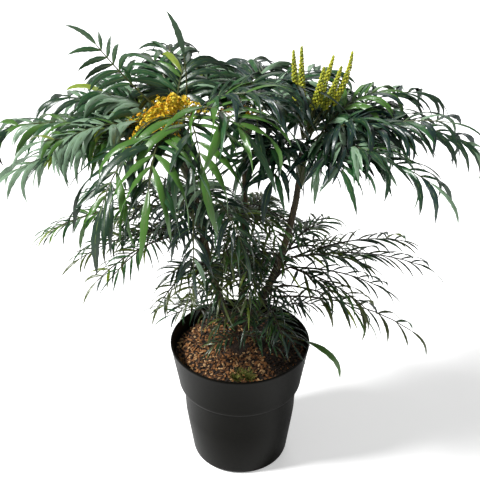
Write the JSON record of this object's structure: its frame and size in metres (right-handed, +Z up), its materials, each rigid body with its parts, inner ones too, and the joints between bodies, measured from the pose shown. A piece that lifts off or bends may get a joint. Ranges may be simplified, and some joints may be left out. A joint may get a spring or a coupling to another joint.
{
  "type": "potted mahonia",
  "caption": "Narrow-leaved flowering mahonia shrub standing in its filled round plastic nursery pot.",
  "frame": {"origin": "middle of the pot's flat underside", "axes": "+Z up along the pot's axis, +X to the plant's right as pictured, +Y away from the viewer"},
  "size_m": [0.6245, 0.4782, 0.6563],
  "materials": {
    "pot": "satin dark grey moulded plastic",
    "soil": "loose bark potting mix",
    "bark": "dark brown corky bark",
    "foliage": "glossy dark green leaves",
    "open_flower": "open orange-yellow flowers",
    "flower_bud": "yellow-green flower buds"
  },
  "bodies": {
    "root": {"pot": "pot", "soil": "soil", "trunk": "bark", "bough_left": "bark", "bough_right": "bark", "bough_back": "bark", "left_blossom": "open_flower", "right_racemes": "flower_bud", "left_front": "foliage", "left_front_east": "foliage", "left_west": "foliage", "left_west_low": "foliage", "left_north_west": "foliage", "left_west_high": "foliage", "left_rising": "foliage", "left_top": "foliage", "left_back": "foliage", "left_east": "foliage", "left_front_low": "foliage", "right_east_high": "foliage", "right_east": "foliage", "right_east_low": "foliage", "right_front": "foliage", "right_front_west": "foliage", "right_back": "foliage", "back_back": "foliage", "back_west": "foliage", "back_east": "foliage", "back_front": "foliage", "right_low_east": "foliage", "right_low_front": "foliage", "right_low_mid": "foliage", "right_low_back": "foliage", "right_low_west": "foliage", "left_low_west": "foliage", "left_low_front": "foliage", "left_low_east": "foliage", "left_low_back": "foliage", "middle_front": "foliage", "middle_high": "foliage", "middle_back": "foliage", "back_low": "foliage", "foot_east": "foliage", "foot_rim": "foliage", "foot_west": "foliage", "left_low_mid": "foliage", "right_low_hub": "foliage", "right_ruff": "foliage", "middle_low": "foliage", "foot_right": "foliage", "foot_front": "foliage"}
  },
  "joints": []
}
